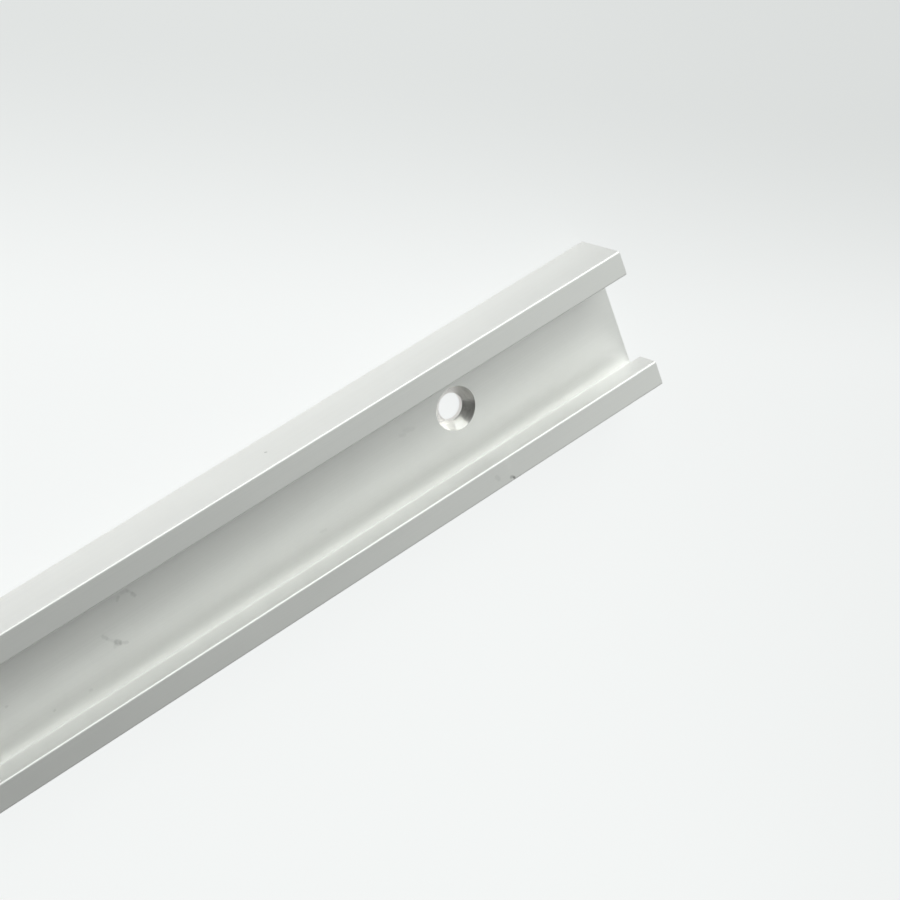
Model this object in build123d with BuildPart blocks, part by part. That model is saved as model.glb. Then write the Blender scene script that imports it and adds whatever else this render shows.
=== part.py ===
from build123d import *
import os

# Aluminium T-track: one extruded length, with a slot that is open at the top and a wider channel
# under its two lips, and a row of countersunk screw holes along the middle of its floor.
# All sizes are millimetres. X runs along the track, Y across it and Z up from the underside,
# and the origin is the middle of the underside.

# Length as sold
track_length = 600.0

# The slot between the lips, which guides the bar that slides in it
slot_width = 19.5

# How far the channel runs in under each lip, and how high it is, to take the heads of bolts
undercut = 2.15
channel_height = 4.3

# Metal around the slot and the channel
floor_thickness = 3.0
side_wall = 3.1
lip_thickness = 5.2

# Small rounds along the section's corners, as the die leaves them
outer_edge_radius = 0.4
slot_edge_radius = 0.4
lip_underside_radius = 0.2
channel_roof_radius = 0.3
channel_floor_radius = 0.5

# Countersunk screw holes, spaced evenly from one end hole to the other
hole_count = 5
hole_end_distance = 40.0
screw_hole_diameter = 5.4
countersink_diameter = 8.8
countersink_angle = 82.0

# Half widths and heights that follow
half_slot = slot_width / 2
half_channel = half_slot + undercut
half_width = half_channel + side_wall
roof_height = floor_thickness + channel_height
track_height = roof_height + lip_thickness
hole_pitch = (track_length - 2 * hole_end_distance) / (hole_count - 1)

# The section is drawn looking along the track: its own x runs across the track and its own y upwards
section_plane = Plane(origin=(-track_length / 2, 0, 0), x_dir=(0, 1, 0), z_dir=(1, 0, 0))


def corner_pair(sketch, half, height):
    """The two corners of a section, left and right, that lie at one half width and one height."""
    reach = 0.001
    return [
        corner
        for corner in sketch.vertices()
        if abs(abs(corner.X) - half) < reach and abs(corner.Y - height) < reach
    ]


with BuildPart() as rail:
    with BuildSketch(section_plane) as section:
        # Right half of the outline, from the middle of the underside to the middle of the channel floor
        with BuildLine():
            Polyline(
                (0, 0),
                (half_width, 0),
                (half_width, track_height),
                (half_slot, track_height),
                (half_slot, roof_height),
                (half_channel, roof_height),
                (half_channel, floor_thickness),
                (0, floor_thickness),
            )
            mirror(about=Plane.YZ)
        make_face()
        fillet(corner_pair(section, half_width, 0), outer_edge_radius)
        fillet(corner_pair(section, half_width, track_height), outer_edge_radius)
        fillet(corner_pair(section, half_slot, track_height), slot_edge_radius)
        fillet(corner_pair(section, half_slot, roof_height), lip_underside_radius)
        fillet(corner_pair(section, half_channel, roof_height), channel_roof_radius)
        fillet(corner_pair(section, half_channel, floor_thickness), channel_floor_radius)
    extrude(amount=track_length)

    # The screw heads sink into the channel floor, so nothing stands in the way of what slides over them
    with Locations((0, 0, floor_thickness)):
        with GridLocations(hole_pitch, 0, hole_count, 1):
            CounterSinkHole(
                radius=screw_hole_diameter / 2,
                counter_sink_radius=countersink_diameter / 2,
                counter_sink_angle=countersink_angle,
                depth=track_height,
            )

rail.part.label = "rail"

os.makedirs("parts", exist_ok=True)
export_step(rail.part, "parts/rail.step")
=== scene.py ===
# %% [markdown]
# # A T-track in clear anodised aluminium
#
# The object is one length of extruded aluminium. A slot runs along its top and widens under two lips,
# so that a bar or the head of a bolt can slide in it without coming out. Countersunk holes in the floor
# of the channel take the screws that hold it down.
#
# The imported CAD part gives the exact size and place. This script dresses it: a finer mesh of the same
# section, three metal finishes, a pale studio and a camera.

import math

import bmesh
import bpy
from mathutils import Matrix, Vector


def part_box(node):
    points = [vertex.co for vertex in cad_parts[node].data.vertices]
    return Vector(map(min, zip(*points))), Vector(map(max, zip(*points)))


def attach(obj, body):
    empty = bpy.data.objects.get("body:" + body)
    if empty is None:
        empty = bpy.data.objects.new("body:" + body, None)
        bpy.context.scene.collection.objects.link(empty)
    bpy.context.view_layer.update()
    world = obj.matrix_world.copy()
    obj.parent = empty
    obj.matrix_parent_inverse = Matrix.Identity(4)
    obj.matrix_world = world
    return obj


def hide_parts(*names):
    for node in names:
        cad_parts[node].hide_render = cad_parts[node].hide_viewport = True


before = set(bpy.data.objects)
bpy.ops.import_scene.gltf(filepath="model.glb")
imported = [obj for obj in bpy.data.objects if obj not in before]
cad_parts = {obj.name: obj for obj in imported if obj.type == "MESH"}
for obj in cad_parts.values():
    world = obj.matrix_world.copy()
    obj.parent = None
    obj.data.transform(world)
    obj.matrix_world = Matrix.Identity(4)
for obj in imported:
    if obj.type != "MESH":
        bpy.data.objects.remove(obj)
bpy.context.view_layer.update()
MM = 0.001
low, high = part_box("rail")
half_length, half_width, height = high.x, high.y, high.z
print("track", [round(side / MM, 2) for side in high - low], "mm")

# %% [markdown]
# ## The section
#
# An extrusion is drawn as one flat outline and pushed along its length. Here the outline is a list of
# twelve corners, each with the radius that the die leaves there. Working the arcs out from the corners
# keeps the list short, and the same function can draw the outline a little smaller, which the sawn ends
# need later.
#
# The rounds between the channel's floor and its walls are a little tighter than in the CAD part, because
# the photograph shows a very thin bright line there.

# %% Corners of the section
slot_half = 9.75 * MM
channel_half = 11.9 * MM
floor_height = 3.0 * MM
roof_height = 7.3 * MM

OUTER_RADIUS = 0.4 * MM
SLOT_RADIUS = 0.4 * MM
LIP_UNDERSIDE_RADIUS = 0.2 * MM
ROOF_RADIUS = 0.3 * MM
FLOOR_RADIUS = 0.3 * MM

right_corners = [
    ("underside", half_width, 0, OUTER_RADIUS),
    ("outer", half_width, height, OUTER_RADIUS),
    ("slot", slot_half, height, SLOT_RADIUS),
    ("lip", slot_half, roof_height, LIP_UNDERSIDE_RADIUS),
    ("roof", channel_half, roof_height, ROOF_RADIUS),
    ("floor", channel_half, floor_height, FLOOR_RADIUS),
]
left_corners = [(name, -y, z, radius) for name, y, z, radius in reversed(right_corners)]
corners = right_corners + left_corners
print(len(corners), "corners in the section")

# %% [markdown]
# The screw holes sit in square cells of the floor. Inside a cell the mesh changes from a grid to rings,
# so the outline carries evenly spaced points across the cell, on the channel floor and on the underside.
# The top of one lip carries a few more points, where it has a small dent.

# %% Points on the flats
CELL_HALF = 6.5 * MM
CELL_STEPS = 24
cell_offsets = [CELL_HALF * (2 * n / CELL_STEPS - 1) for n in range(CELL_STEPS + 1)]

nick = Vector((261.7 * MM, -14.45 * MM))
NICK_REACH = 0.42 * MM
NICK_DEPTH = 0.09 * MM
STEPS_PER_REACH = 4
nick_steps = [NICK_REACH * n / STEPS_PER_REACH for n in range(-STEPS_PER_REACH - 1, STEPS_PER_REACH + 2)]
# Across the lip, the later steps would lie past the end of its flat top
STEPS_ON_THE_FLAT = 7

# The points between one corner and the next, by the two corners' names
flat_points = {
    ("floor", "floor"): list(reversed(cell_offsets)),
    ("underside", "underside"): cell_offsets,
    ("slot", "outer"): [nick.y - step for step in nick_steps[:STEPS_ON_THE_FLAT]],
}
print(sum(len(points) for points in flat_points.values()), "extra points on the flats")

# %% [markdown]
# Each corner becomes an arc. The rounded corners get painted shade, which darkens their colour and so dims
# their highlights, and a little more roughness than the flats, the inner corners most of all. So every
# point also notes how bent the section is there: 0 on a flat, and the most in the middle of an arc, less on
# an outer corner than on an inner one. The anodised finish reads that later for its painted shade.

# %% The outline
ARC_STEPS = 8
SMALLEST_RADIUS = 0.03 * MM
# The most painted shade and extra roughness at the middle of an outer arc and of an inner arc
EDGE_BEND = 0.45
INNER_BEND = 1.0


def rounded(before, corner, after, radius):
    """The points of the arc that rounds a right-angled corner, from the side before to the side after."""
    to_before = (before - corner).normalized()
    to_after = (after - corner).normalized()
    centre = corner + (to_before + to_after) * radius
    for n in range(ARC_STEPS + 1):
        turn = math.pi / 2 * n / ARC_STEPS
        yield centre - (to_after * math.cos(turn) + to_before * math.sin(turn)) * radius


def outline(inset=0.0):
    """The section as (y, z, bend) points, counter-clockwise, drawn smaller all round by the inset."""
    places = [Vector((y, z)) for name, y, z, radius in corners]
    points = []
    for n, (name, y, z, radius) in enumerate(corners):
        following = (n + 1) % len(corners)
        incoming = (places[n] - places[n - 1]).normalized()
        outgoing = (places[following] - places[n]).normalized()
        inwards = Vector((-incoming.y, incoming.x)) + Vector((-outgoing.y, outgoing.x))
        convex = incoming.cross(outgoing) > 0
        here = places[n] + inwards * inset
        arc = max(radius - inset, SMALLEST_RADIUS) if convex else radius + inset
        most = EDGE_BEND if convex else INNER_BEND
        for step, point in enumerate(rounded(here - incoming, here, here + outgoing, arc)):
            points.append((point.x, point.y, most * math.sin(math.pi * step / ARC_STEPS)))
        for across in flat_points.get((name, corners[following][0]), []):
            points.append((across, here.y, 0.0))
    return points


section = outline()
print(len(section), "points round the section")

# %% [markdown]
# ## The mesh
#
# The outline is repeated at stations along the track and neighbouring outlines are joined with faces.
# Long plain stretches need no stations at all, so they stand close together only where something
# happens: across the cells of the holes and round the dent.

# %% Stations along the track
HOLE_COUNT = 5
HOLE_END_DISTANCE = 40 * MM
BURR = 0.12 * MM
PLACE_DIGITS = 8
hole_pitch = 2 * (half_length - HOLE_END_DISTANCE) / (HOLE_COUNT - 1)
hole_places = [-half_length + HOLE_END_DISTANCE + n * hole_pitch for n in range(HOLE_COUNT)]

stations = [-half_length + BURR, half_length - BURR]
for place in hole_places:
    stations += [place + offset for offset in cell_offsets]
stations += [nick.x + step for step in nick_steps]
stations = sorted(set(round(x, PLACE_DIGITS) for x in stations))
print(len(stations), "stations, holes at", [round(x / MM, 1) for x in hole_places])

# %% [markdown]
# A vertex here carries one number besides its place, the bend of the section, and a bmesh layer keeps it.
# The dent is pressed in while the vertices are made: a smooth dip that fades out at its reach.

# %% Rings of vertices
rail_mesh = bpy.data.meshes.new("t_track_rail")
shape = bmesh.new()
bend_layer = shape.verts.layers.float.new("bend")


def nick_dip(x, y):
    """How far the dent presses the lip's top and edge down at one place."""
    away = (Vector((x, y)) - nick).length / NICK_REACH
    return NICK_DEPTH * max(0.0, 1 - away * away) ** 2


def add_outline(x, points):
    """One ring of vertices round the section at a station."""
    ring = []
    for y, z, bend in points:
        dip = nick_dip(x, y) if z > roof_height else 0.0
        vertex = shape.verts.new((x, y, z - dip))
        vertex[bend_layer] = bend
        ring.append(vertex)
    return ring


outlines = [add_outline(x, section) for x in stations]
print(len(shape.verts), "vertices along the track")

# %% [markdown]
# The faces between two outlines cover everything except the squares where the holes go. Those squares
# stay open on the channel floor and on the underside, until the rings of the holes fill them.

# %% Joining the outlines
SAME_PLACE = 1e-9


def run_of(points, height_wanted):
    """Where the cell's points begin in the outline, at one height."""
    for n, (y, z, bend) in enumerate(points):
        if abs(abs(y) - CELL_HALF) < SAME_PLACE and abs(z - height_wanted) < SAME_PLACE:
            return n
    raise ValueError("the outline has no cell points there")


def station_at(x):
    """The number of the station at one place along the track."""
    return stations.index(round(x, PLACE_DIGITS))


floor_run = run_of(section, floor_height)
underside_run = run_of(section, 0.0)
cells = [(station_at(place - CELL_HALF), station_at(place + CELL_HALF)) for place in hole_places]
open_strip = {run + n for run in (floor_run, underside_run) for n in range(CELL_STEPS)}
in_cell = {i for start, end in cells for i in range(start, end)}

for i in range(len(stations) - 1):
    for j in range(len(section)):
        if i in in_cell and j in open_strip:
            continue
        k = (j + 1) % len(section)
        shape.faces.new((outlines[i][j], outlines[i][k], outlines[i + 1][k], outlines[i + 1][j]))
print(len(shape.faces), "faces before the holes")

# %% [markdown]
# ## The screw holes
#
# A hole is a stack of rings that share their corners' directions with the square cell: the cell's edge,
# the rim of the countersink, the foot of its cone, and the rims of the straight bore. The tool that cuts
# the cone leaves a tiny broken edge, and that edge is what catches the light.

# %% Hole sizes
BORE_RADIUS = 2.7 * MM
SINK_RADIUS = 4.4 * MM
SINK_ANGLE = math.radians(82)
EDGE_BREAK = 0.05 * MM
CONE_STEPS = 4
sink_depth = (SINK_RADIUS - BORE_RADIUS) / math.tan(SINK_ANGLE / 2)
cone_start = EDGE_BREAK / SINK_RADIUS

# Each ring is its radius and its height
hole_rings = [(SINK_RADIUS + EDGE_BREAK, floor_height)]
for n in range(CONE_STEPS + 1):
    share = cone_start + (1 - cone_start) * n / CONE_STEPS
    radius = SINK_RADIUS + (BORE_RADIUS - SINK_RADIUS) * share
    hole_rings.append((radius, floor_height - sink_depth * share))
hole_rings.append((BORE_RADIUS, EDGE_BREAK))
hole_rings.append((BORE_RADIUS + EDGE_BREAK, 0.0))
print("countersink", round(sink_depth / MM, 2), "mm deep in a floor of", round(floor_height / MM, 2), "mm")

# %% [markdown]
# Every ring has one point for each point round the cell's edge, in the same direction from the middle. So
# bands of faces join them from the channel floor down to the underside. A boolean cut would need less
# code, but it leaves long thin faces round the rim, and those shade badly.

# %% Drilling the holes
ANODISED, SAWN, MACHINED = 0, 1, 2


def cell_edge(start, end, run, from_high_y):
    """The vertices round a cell, counter-clockwise seen from above, from the corner at low x and high y."""
    across = [run + n for n in range(CELL_STEPS + 1)]
    if not from_high_y:
        across.reverse()
    edge = [outlines[start][j] for j in across]
    edge += [outlines[i][across[-1]] for i in range(start + 1, end)]
    edge += [outlines[end][j] for j in reversed(across)]
    edge += [outlines[i][across[0]] for i in range(end - 1, start, -1)]
    return edge


def join_rings(upper, lower, finish):
    """One band of faces between two rings."""
    for n in range(len(upper)):
        following = (n + 1) % len(upper)
        face = shape.faces.new((upper[n], upper[following], lower[following], lower[n]))
        face.material_index = finish


for place, (start, end) in zip(hole_places, cells):
    ring = cell_edge(start, end, floor_run, True)
    turns = [math.atan2(vertex.co.y, vertex.co.x - place) for vertex in ring]
    finish = ANODISED
    for radius, z in hole_rings:
        circle = [(place + radius * math.cos(turn), radius * math.sin(turn), z) for turn in turns]
        following = [shape.verts.new(point) for point in circle]
        join_rings(ring, following, finish)
        ring = following
        finish = MACHINED
    join_rings(ring, cell_edge(start, end, underside_run, False), ANODISED)
print(len(shape.faces), "faces with", len(hole_places), "holes")

# %% [markdown]
# ## The ends
#
# A saw cuts the length off square, and a quick pass with a file takes the burr away. That leaves a narrow
# slanted edge all round each end, drawn here from the same outline made smaller by the burr's width.

# %% Sawn ends
small_section = outline(BURR)
for x, neighbour in ((-half_length, outlines[0]), (half_length, outlines[-1])):
    rim = add_outline(x, small_section)
    first, second = (rim, neighbour) if x < 0 else (neighbour, rim)
    for j in range(len(rim)):
        k = (j + 1) % len(rim)
        face = shape.faces.new((first[j], first[k], second[k], second[j]))
        face.material_index = SAWN
    cap = shape.faces.new(rim if x > 0 else rim[::-1])
    cap.material_index = SAWN
print(len(shape.faces), "faces with both ends")

# %% [markdown]
# Smooth shading would round the large flats off, because a corner's normal is a mean of its faces. A
# modifier that weighs each face by its area keeps the flats flat and lets only the small arcs bend the
# light, as on the real extrusion.

# %% The finished mesh
SHARP_FROM = math.radians(28)
LARGE_FACES_FIRST = 100

shape.normal_update()
for face in shape.faces:
    face.smooth = True
shape.to_mesh(rail_mesh)
shape.free()
rail_mesh.set_sharp_from_angle(angle=SHARP_FROM)
rail = bpy.data.objects.new("t_track_rail", rail_mesh)
bpy.context.scene.collection.objects.link(rail)
weighted = rail.modifiers.new("even_shading", "WEIGHTED_NORMAL")
weighted.keep_sharp = True
weighted.weight = LARGE_FACES_FIRST
print(len(rail_mesh.polygons), "faces in the rail")

# %% [markdown]
# ## Shader arithmetic
#
# Most of the look is arithmetic on positions, so a small class lets a shader socket be used like a
# number. Every other node comes from one method that takes its kind, its settings and its inputs.

# %% The signal class
class Signal:
    """An output socket of a shader graph that can be used in ordinary arithmetic."""

    def __init__(self, graph, made, name=None):
        self.graph = graph
        self.made = made
        shown = [socket for socket in made.outputs if socket.enabled]
        self.socket = shown[0] if name is None else next(s for s in shown if s.name == name)

    def output(self, name):
        return Signal(self.graph, self.made, name)

    def math(self, operation, *values):
        return self.graph.node("Math", {"operation": operation}, list(values))

    def __add__(self, other):
        return self.math("ADD", self, other)

    def __sub__(self, other):
        return self.math("SUBTRACT", self, other)

    def __rsub__(self, other):
        return self.math("SUBTRACT", other, self)

    def __mul__(self, other):
        return self.math("MULTIPLY", self, other)

    def __truediv__(self, other):
        return self.math("DIVIDE", self, other)

    def __pow__(self, other):
        return self.math("POWER", self, other)

    __radd__ = __add__
    __rmul__ = __mul__

    def low(self, other):
        return self.math("MINIMUM", self, other)

    def high(self, other):
        return self.math("MAXIMUM", self, other)

    def wave(self):
        return self.math("SINE", self)

    def ramp(self, start, end):
        """0 at the start value, 1 at the end value, and smooth between them."""
        smooth = {"interpolation_type": "SMOOTHSTEP"}
        return self.graph.node("MapRange", smooth, {"Value": self, "From Min": start, "From Max": end})


print("a socket can now be added, subtracted, multiplied, divided and ramped")

# %% [markdown]
# The second class holds one node tree. Its node method makes any node, and the short methods after it name
# what this track uses often: noise with its own number of bumps along each axis, noise that changes with
# one distance only, and a metal surface with fine relief.

# %% The graph class
class Graph:
    """The node tree of one material or world."""

    def __init__(self, owner):
        owner.use_nodes = True
        self.tree = owner.node_tree
        self.tree.nodes.clear()

    def node(self, kind, settings=None, inputs=None):
        """One node of any kind, with its settings first and then the values or links of its sockets."""
        made = self.tree.nodes.new("ShaderNode" + kind)
        for name, value in (settings or {}).items():
            setattr(made, name, value)
        shown = [socket for socket in made.inputs if socket.enabled]
        given = inputs or {}
        if isinstance(given, list):
            pairs = zip(shown, given)
        else:
            pairs = [(next(s for s in shown if s.name == name), value) for name, value in given.items()]
        for socket, value in pairs:
            if isinstance(value, Signal):
                self.tree.links.new(value.socket, socket)
            else:
                socket.default_value = value
        return Signal(self, made) if any(socket.enabled for socket in made.outputs) else made

    def vector(self, operation, *values):
        return self.node("VectorMath", {"operation": operation}, list(values))

    def scaled(self, vector, amount):
        """A vector or a colour times a number."""
        return self.node("VectorMath", {"operation": "SCALE"}, {"Vector": vector, "Scale": amount})

    def blend(self, share, first, second):
        """A colour between two colours."""
        return self.node("Mix", {"data_type": "RGBA"}, {"Factor": share, "A": first, "B": second})

    def grain(self, place, bumps, detail=2.0, rough=0.5):
        """Noise between 0 and 1, with so many bumps to each unit along the three axes."""
        stretched = self.vector("MULTIPLY", place, bumps)
        sizes = {"Vector": stretched, "Scale": 1.0, "Detail": detail, "Roughness": rough}
        return self.node("TexNoise", {"noise_dimensions": "3D"}, sizes).output("Fac")

    def rings(self, distance, bumps, detail):
        """Noise between 0 and 1 that changes only with one distance, and so makes rings or arcs."""
        sizes = {"W": distance, "Scale": bumps, "Detail": detail}
        return self.node("TexNoise", {"noise_dimensions": "1D"}, sizes).output("Fac")

    def metal(self, paint, rough, relief, strength, depth):
        """A metal surface with its colour, its roughness and its fine relief, as the material's output."""
        bump = self.node("Bump", {}, {"Strength": strength, "Distance": depth, "Height": relief})
        looks = {"Base Color": paint, "Metallic": 1.0, "Roughness": rough, "Normal": bump}
        self.node("OutputMaterial", {}, {"Surface": self.node("BsdfPrincipled", {}, looks)})


print("a graph makes any node, and has short names for vectors, colours, grain, rings and metal")

# %% [markdown]
# ## The anodised surface
#
# The bar comes out of the die with very fine lines along its length. Etching before the anodising turns
# them into a satin, and the oxide film is clear. So the metal is nearly white and quite rough, its lines
# are faint, and handling has left soft patches and a few scuffs that the photograph shows.
#
# Positions come from the object's own coordinates in millimetres, which are the same as in the CAD part.
# A scuff is a chain of short soft strokes, each one the distance from a line between two points. Noise
# on that distance makes the strokes ragged.

# %% Places and strokes
STROKE_CORE = 0.25
RAGGED_BUMPS = (2.6, 2.6, 2.6)
RAGGED_REACH = 0.35
DARKEST_MARK = 0.8


def millimetres(graph):
    """Places on the object, in millimetres."""
    return graph.vector("MULTIPLY", graph.node("TexCoord").output("Object"), (1 / MM, 1 / MM, 1 / MM))


def stroke(graph, place, start, end, width, wobble):
    """1 along a straight scratch from start to end, fading out to 0 at its width."""
    along = Vector(end) - Vector(start)
    reach = graph.vector("SUBTRACT", place, start)
    share = graph.vector("DOT_PRODUCT", reach, tuple(along)) / along.length_squared
    foot = graph.scaled(tuple(along), share.high(0.0).low(1.0))
    away = graph.vector("DISTANCE", reach, foot) + wobble
    return 1 - (away / width).ramp(STROKE_CORE, 1.0)


def scuffed(graph, place, marks):
    """How much darker the marks make the metal, from 0 to 1."""
    wobble = (graph.grain(place, RAGGED_BUMPS) - 0.5) * RAGGED_REACH
    total = 0.0
    for start, end, width, strength in marks:
        total = stroke(graph, place, start, end, width, wobble) * strength + total
    return total.low(DARKEST_MARK)


print("strokes fade out from", STROKE_CORE, "of their width")

# %% [markdown]
# The photograph shows a hooked scuff in the channel, some rubbed places and specks, and two darker places
# on one lip, one of them at the dent. Each one is drawn as one or more short strokes where it shows.

# %% Marks
# Each mark is its start, its end, its half width and how much it darkens the metal
hooked_scuff = [
    ((177.7, -1.0, 3.0), (178.2, -1.8, 3.0), 0.50, 0.09),
    ((178.3, -2.0, 3.0), (179.4, -3.3, 3.0), 0.45, 0.05),
    ((179.6, -3.5, 3.0), (180.0, -3.9, 3.0), 0.80, 0.20),
    ((180.2, -4.1, 3.0), (181.4, -4.7, 3.0), 0.45, 0.09),
    ((179.3, -3.9, 3.0), (179.0, -4.1, 3.0), 0.55, 0.06),
]
rubbed_places = [
    ((182.9, 3.6, 3.0), (183.4, 4.1, 3.0), 0.45, 0.09),
    ((184.3, 4.5, 3.0), (185.3, 4.3, 3.0), 0.55, 0.07),
    ((185.3, 4.3, 3.0), (186.0, 3.4, 3.0), 0.40, 0.06),
    ((186.0, 3.2, 3.0), (186.3, 2.6, 3.0), 0.50, 0.12),
    ((248.2, 1.8, 3.0), (249.9, 1.2, 3.0), 0.75, 0.05),
    ((247.0, 1.4, 3.0), (247.9, 1.0, 3.0), 0.55, 0.05),
    ((224.6, -7.0, 3.0), (225.6, -7.1, 3.0), 0.50, 0.05),
]
specks = [
    ((156.3, -2.6, 3.0), (156.5, -2.6, 3.0), 0.34, 0.10),
    ((163.8, -8.5, 3.0), (164.0, -8.5, 3.0), 0.34, 0.10),
    ((171.4, -9.0, 3.0), (171.6, -9.0, 3.0), 0.45, 0.06),
    ((219.0, 15.0, 6.3), (219.1, 15.0, 6.5), 0.30, 0.32),
]
lip_dents = [
    ((261.4, -14.0, 12.5), (261.9, -14.5, 12.5), 0.55, 0.26),
    ((258.4, -12.2, 12.5), (258.7, -12.9, 12.5), 0.60, 0.07),
]
scuffs = hooked_scuff + rubbed_places + specks + lip_dents
print(len(scuffs), "marks on the track")

# %% [markdown]
# Three kinds of noise make the finish: the die's lines, which hardly change along the track, the satin's
# fine grain and the soft patches. Each one moves the colour or the roughness a few hundredths up or down.

# %% Anodised aluminium
SATIN = 0.62
ANODISED_COLOUR = (0.833, 0.832, 0.822)
# Painted shade on the rounded corners, most in the inner ones; the same amount also roughens them
CORNER_SHADE_AND_DULLING = 0.12

# Bumps to each millimetre along X, Y and Z
DIE_LINES = (0.010, 3.2, 3.2)
SATIN_GRAIN = (5.5, 8.0, 8.0)
SOFT_PATCHES = (0.055, 0.14, 0.14)

# How far each noise moves the colour and the roughness, and its share of the relief
LINES_TONE, PATCHES_TONE, SATIN_TONE = 0.05, 0.04, 0.03
PATCHES_ROUGH, SATIN_ROUGH = 0.06, 0.05
LINES_RELIEF, SATIN_RELIEF = 0.6, 0.4
RELIEF_STRENGTH = 0.3
RELIEF_DEPTH = 0.004 * MM

anodised = bpy.data.materials.new("anodised_satin")
g = Graph(anodised)
place = millimetres(g)

die_lines = g.grain(place, DIE_LINES, detail=3.0, rough=0.6)
satin = g.grain(place, SATIN_GRAIN)
patches = g.grain(place, SOFT_PATCHES, detail=3.0, rough=0.55)
# Painted shade: the bend darkens the corners' colour, and the same amount adds roughness
corner_shade_and_dulling = g.node("Attribute", {"attribute_name": "bend"}).output("Fac") * CORNER_SHADE_AND_DULLING
marks = scuffed(g, place, scuffs)

tone = 1 + (die_lines - 0.5) * LINES_TONE + (patches - 0.5) * PATCHES_TONE + (satin - 0.5) * SATIN_TONE
paint = g.scaled(ANODISED_COLOUR, tone * (1 - marks) * (1 - corner_shade_and_dulling))
rough = SATIN + (patches - 0.5) * PATCHES_ROUGH + (satin - 0.5) * SATIN_ROUGH + corner_shade_and_dulling
relief = die_lines * LINES_RELIEF + satin * SATIN_RELIEF
g.metal(paint, rough, relief, RELIEF_STRENGTH, RELIEF_DEPTH)
print(len(g.tree.nodes), "nodes in the anodised finish")

# %% [markdown]
# ## Sawn ends
#
# The track is cut and drilled after the anodising, so bare metal shows there. The saw's teeth leave
# shallow arcs across the end. They are circles round the middle of the blade, which stands well below
# the track, so the distance from that point draws all of them.

# %% Sawn aluminium
SAWN_COLOUR = (0.86, 0.862, 0.866)
AVERAGE_SHADE = 0.97
SAWN_SHADE_CHANGE = 0.16
SAWN_ROUGHNESS = 0.3
SAWN_ROUGH_CHANGE = 0.1
BLADE_CENTRE = (0.0, 38.0, -112.0)

# Radians of the wave, and bumps of the noises, to each millimetre
ARC_TURN = 14.0
FINE_ARCS = 9.0
JITTER_BUMPS = (0.0, 0.9, 0.9)
JITTER_REACH = 0.5
ARC_RELIEF = 0.25
SAW_DEPTH = 0.012 * MM

sawn = bpy.data.materials.new("sawn_aluminium")
g = Graph(sawn)
place = millimetres(g)
across_end = g.vector("MULTIPLY", place, (0.0, 1.0, 1.0))
blade = g.vector("DISTANCE", across_end, BLADE_CENTRE)
jitter = g.grain(place, JITTER_BUMPS) * JITTER_REACH
arcs = ((blade + jitter) * ARC_TURN).wave()
fine_arcs = g.rings(blade, FINE_ARCS, detail=3.0)
paint = g.scaled(SAWN_COLOUR, AVERAGE_SHADE + (fine_arcs - 0.5) * SAWN_SHADE_CHANGE)
rough = SAWN_ROUGHNESS + fine_arcs * SAWN_ROUGH_CHANGE
g.metal(paint, rough, arcs * ARC_RELIEF + fine_arcs, strength=0.5, depth=SAW_DEPTH)
print(len(g.tree.nodes), "nodes in the sawn finish")

# %% [markdown]
# ## Countersinks
#
# The countersink bit leaves fine rings and a smooth, shiny cone. The rings need the distance from the
# middle of the nearest hole. The holes are evenly spaced, so a ping-pong node folds the whole length onto
# half a pitch, and one formula serves them all. Whole pitches are added first, because the folding is
# plainest on positive numbers.

# %% Machined aluminium
MACHINED_COLOUR = (0.915, 0.90, 0.88)
MACHINED_SHADE_CHANGE = 0.08
MACHINED_ROUGHNESS = 0.27
TOOL_RINGS = 11.0
RING_DEPTH = 0.032 * MM
PITCHES_ADDED = 5
half_pitch = round(hole_pitch / MM / 2, 3)

machined = bpy.data.materials.new("machined_aluminium")
g = Graph(machined)
parts = g.node("SeparateXYZ", {}, [millimetres(g)])
along = parts.output("X") + half_pitch + 2 * PITCHES_ADDED * half_pitch
off_x = half_pitch - g.node("Math", {"operation": "PINGPONG"}, [along, half_pitch])
off_y = parts.output("Y")
tool_rings = g.rings((off_x * off_x + off_y * off_y) ** 0.5, TOOL_RINGS, detail=2.0)
paint = g.scaled(MACHINED_COLOUR, AVERAGE_SHADE + (tool_rings - 0.5) * MACHINED_SHADE_CHANGE)
g.metal(paint, MACHINED_ROUGHNESS, tool_rings, strength=1.0, depth=RING_DEPTH)
print(len(g.tree.nodes), "nodes in the machined finish")

# %% [markdown]
# The finishes go onto the mesh in the order of the numbers that its faces carry. Then the mesh is
# attached to the root body, and the CAD part that it replaces is hidden.

# %% Dressing the rail
for finish in (anodised, sawn, machined):
    rail_mesh.materials.append(finish)
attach(rail, "root")
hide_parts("rail")
print([material.name for material in rail_mesh.materials])

# %% [markdown]
# ## The studio
#
# The photograph's background is pale and seamless, as paper is. A wide flat disc stands for it, a hair's
# breadth under the track so that the two surfaces don't meet.

# %% Paper floor
PAPER_RADIUS = 6.0
PAPER_SIDES = 96
PAPER_DROP = 0.05 * MM
bpy.ops.mesh.primitive_circle_add(
    vertices=PAPER_SIDES, radius=PAPER_RADIUS, fill_type="NGON", location=(0, 0, -PAPER_DROP)
)
paper = bpy.context.object
paper.name = "paper_floor"
print("paper", 2 * PAPER_RADIUS, "m across")

# %% [markdown]
# The background is greyer towards the top of the photograph and dims a little round the free end of the
# track. Both are painted shade in the paper's colour, which follows two slow ramps.
#
# Part of what the camera sees of the paper is fixed, and the rest is lit as usual, which keeps the
# object's shadow soft and light. What the metal mirrors of the paper is partly fixed too, with a slight
# tint that keeps the metal neutral.

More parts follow.
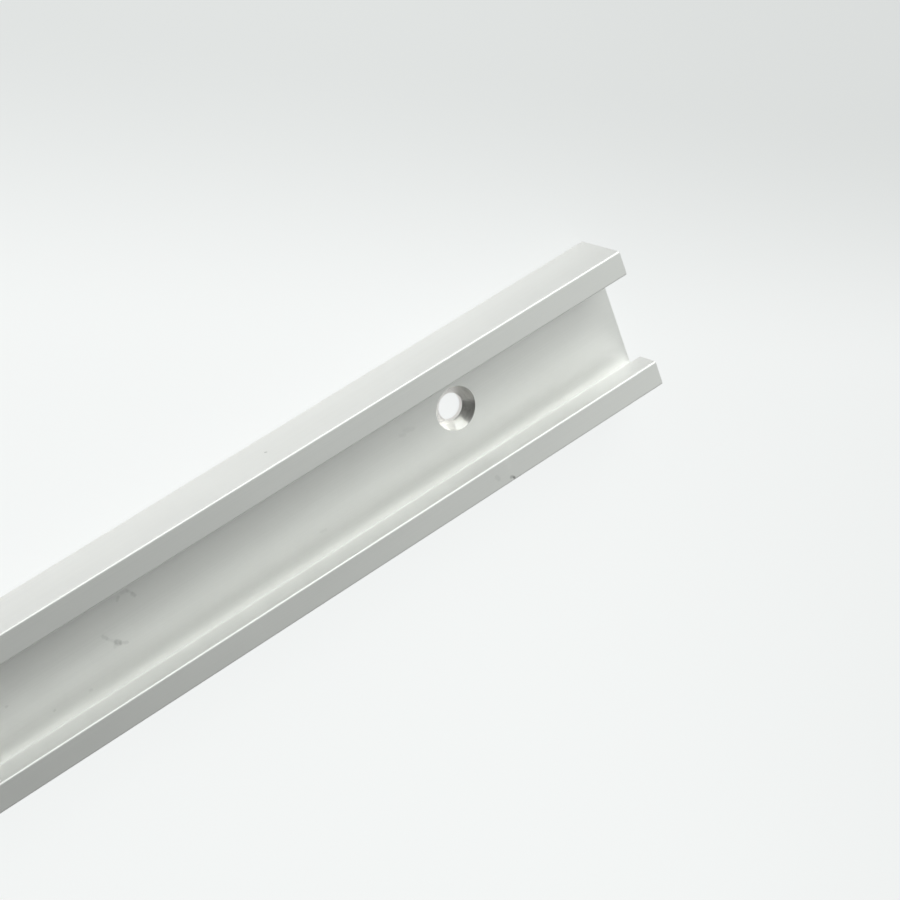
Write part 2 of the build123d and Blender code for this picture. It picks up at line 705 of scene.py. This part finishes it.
# %% White paper
# Painted shade: the white paper greys along this direction and dims along X
TOWARDS_GREY = (0.524, 0.851, 0.0)
GREY_FROM = 0.146
GREY_TO = 0.202
DIM_FROM = 0.24
DIM_TO = 0.41
DIM_SHARE = 0.063
WHITE = (0.925, 0.943, 0.938, 1.0)
GREY = (0.766, 0.786, 0.779, 1.0)
BLACK = (0.0, 0.0, 0.0, 1.0)
MIRRORED_TINT = (1.0, 0.975, 0.98)
FIXED_FOR_CAMERA = 0.92
FIXED_IN_METAL = 0.61
FIBRES_TO_A_METRE = 900.0
PAPER_ROUGHNESS = 0.75
FIBRE_ROUGHNESS = 0.2

paper_look = bpy.data.materials.new("white_paper")
g = Graph(paper_look)
spot = g.node("TexCoord").output("Object")
# Two ramps paint shade onto the white paper: towards grey, and dimmer along the track
painted_shade_share = g.vector("DOT_PRODUCT", spot, TOWARDS_GREY).ramp(GREY_FROM, GREY_TO)
painted_dimming = g.node("SeparateXYZ", {}, [spot]).output("X").ramp(DIM_FROM, DIM_TO) * DIM_SHARE
fibres = g.grain(spot, (FIBRES_TO_A_METRE, FIBRES_TO_A_METRE, FIBRES_TO_A_METRE))
colour = g.scaled(g.blend(painted_shade_share, WHITE, GREY), 1 - painted_dimming)
dull = PAPER_ROUGHNESS + fibres * FIBRE_ROUGHNESS
lit = g.node("BsdfPrincipled", {}, {"Base Color": colour, "Roughness": dull})

rays = g.node("LightPath")
mirrored = rays.output("Is Glossy Ray").high(rays.output("Is Transmission Ray"))
glow = g.blend(mirrored, colour, g.vector("MULTIPLY", colour, MIRRORED_TINT))
steady = {"Base Color": BLACK, "Specular IOR Level": 0.0, "Emission Color": glow, "Emission Strength": 1.0}
fixed = g.node("BsdfPrincipled", {}, steady)
share = (rays.output("Is Camera Ray") * FIXED_FOR_CAMERA).high(mirrored * FIXED_IN_METAL)
g.node("OutputMaterial", {}, {"Surface": g.node("MixShader", {}, [share, lit, fixed])})
paper.data.materials.append(paper_look)
print("the paper greys over", round((GREY_TO - GREY_FROM) / MM), "mm")

# %% [markdown]
# ## The light
#
# Metal shows its surroundings, so part of the light is in them: a dim room that brightens towards the
# track's end in view. Its dim side makes the dark wall of the countersink. The camera itself sees the
# paper's painted grey shade beyond the edge of the paper.

# %% Room
ALL_ROUND = 0.07
BRIGHT_END = 0.70
BRIGHTEST_FROM = 0.9
ROOM_TINT = (0.968, 1.0, 0.968, 1.0)

world = bpy.data.worlds.new("studio_room")
bpy.context.scene.world = world
g = Graph(world)
toward = g.node("SeparateXYZ", {}, [g.node("TexCoord").output("Generated")])
brightness = ALL_ROUND + toward.output("X").ramp(0.0, BRIGHTEST_FROM) * BRIGHT_END
light_room = g.node("Background", {}, {"Color": ROOM_TINT, "Strength": brightness})
# The camera sees the paper's painted grey shade here
seen_room = g.node("Background", {}, {"Color": GREY, "Strength": 1.0})
rays = g.node("LightPath")
both_rooms = g.node("MixShader", {}, [rays.output("Is Camera Ray"), light_room, seen_room])
g.node("OutputWorld", {}, {"Surface": both_rooms})
print("the room goes from", ALL_ROUND, "to", round(ALL_ROUND + BRIGHT_END, 2))

# %% [markdown]
# Two large softboxes hang one above the other, on the side of the track that the camera sees. They draw
# the bright lines along the rounded edges and make one side of each countersink white. A small softbox
# hangs beyond the end in view, a little to the other side.

# %% Softboxes
LIT_PLACE = Vector((0.24, 0.0, 0.01))
LAMP_TINT = (0.965, 1.0, 0.965)
LARGE = (1.2, 0.7)
SMALL = (0.35, 0.35)


def softbox(name, toward, distance, size, watts):
    """A rectangular lamp in one direction from the lit place, with its width along X."""
    data = bpy.data.lights.new(name, "AREA")
    data.shape = "RECTANGLE"
    data.size, data.size_y = size
    data.energy = watts
    data.color = LAMP_TINT
    lamp = bpy.data.objects.new(name, data)
    bpy.context.scene.collection.objects.link(lamp)
    back = Vector(toward).normalized()
    across = Vector((1, 0, 0))
    across = (across - back * across.dot(back)).normalized()
    lamp.matrix_world = Matrix((across, back.cross(across), back)).transposed().to_4x4()
    lamp.location = LIT_PLACE + back * distance
    lamp.visible_camera = False


softbox("long_softbox", toward=(0.386, 0.81, 0.44), distance=1.5, size=LARGE, watts=12.0)
softbox("high_softbox", toward=(0.386, 0.60, 0.75), distance=1.5, size=LARGE, watts=9.15)
softbox("end_softbox", toward=(0.85, -0.35, 0.60), distance=0.42, size=SMALL, watts=0.21)

# %% [markdown]
# ## The camera
#
# The photograph shows the track rising to the right, seen from above one side through a fairly long lens.
# The lens and the place come from fitting the straight edges, the cut end and the rim of the screw hole.
# The camera is tipped over so that the track, which lies flat here, climbs across the picture.

# %% Camera
LENS = 105.648
SENSOR_WIDTH = 36.0
ROLL = math.radians(111.93)
LOOKS_FROM = Vector((0.05837, 0.21637, 0.41519))
LOOKS_AT = Vector((0.251206, -0.001870, 0.012428))

camera_data = bpy.data.cameras.new("camera")
camera_data.sensor_width = SENSOR_WIDTH
camera_data.lens = LENS
camera = bpy.data.objects.new("camera", camera_data)
bpy.context.scene.collection.objects.link(camera)
level = (LOOKS_AT - LOOKS_FROM).to_track_quat("-Z", "Y")
camera.location = LOOKS_FROM
camera.rotation_euler = (level.to_matrix() @ Matrix.Rotation(ROLL, 3, "Z")).to_euler()
bpy.context.scene.camera = camera
bpy.context.scene.view_settings.view_transform = "Standard"
print("camera", [round(v, 3) for v in LOOKS_FROM], "lens", LENS)
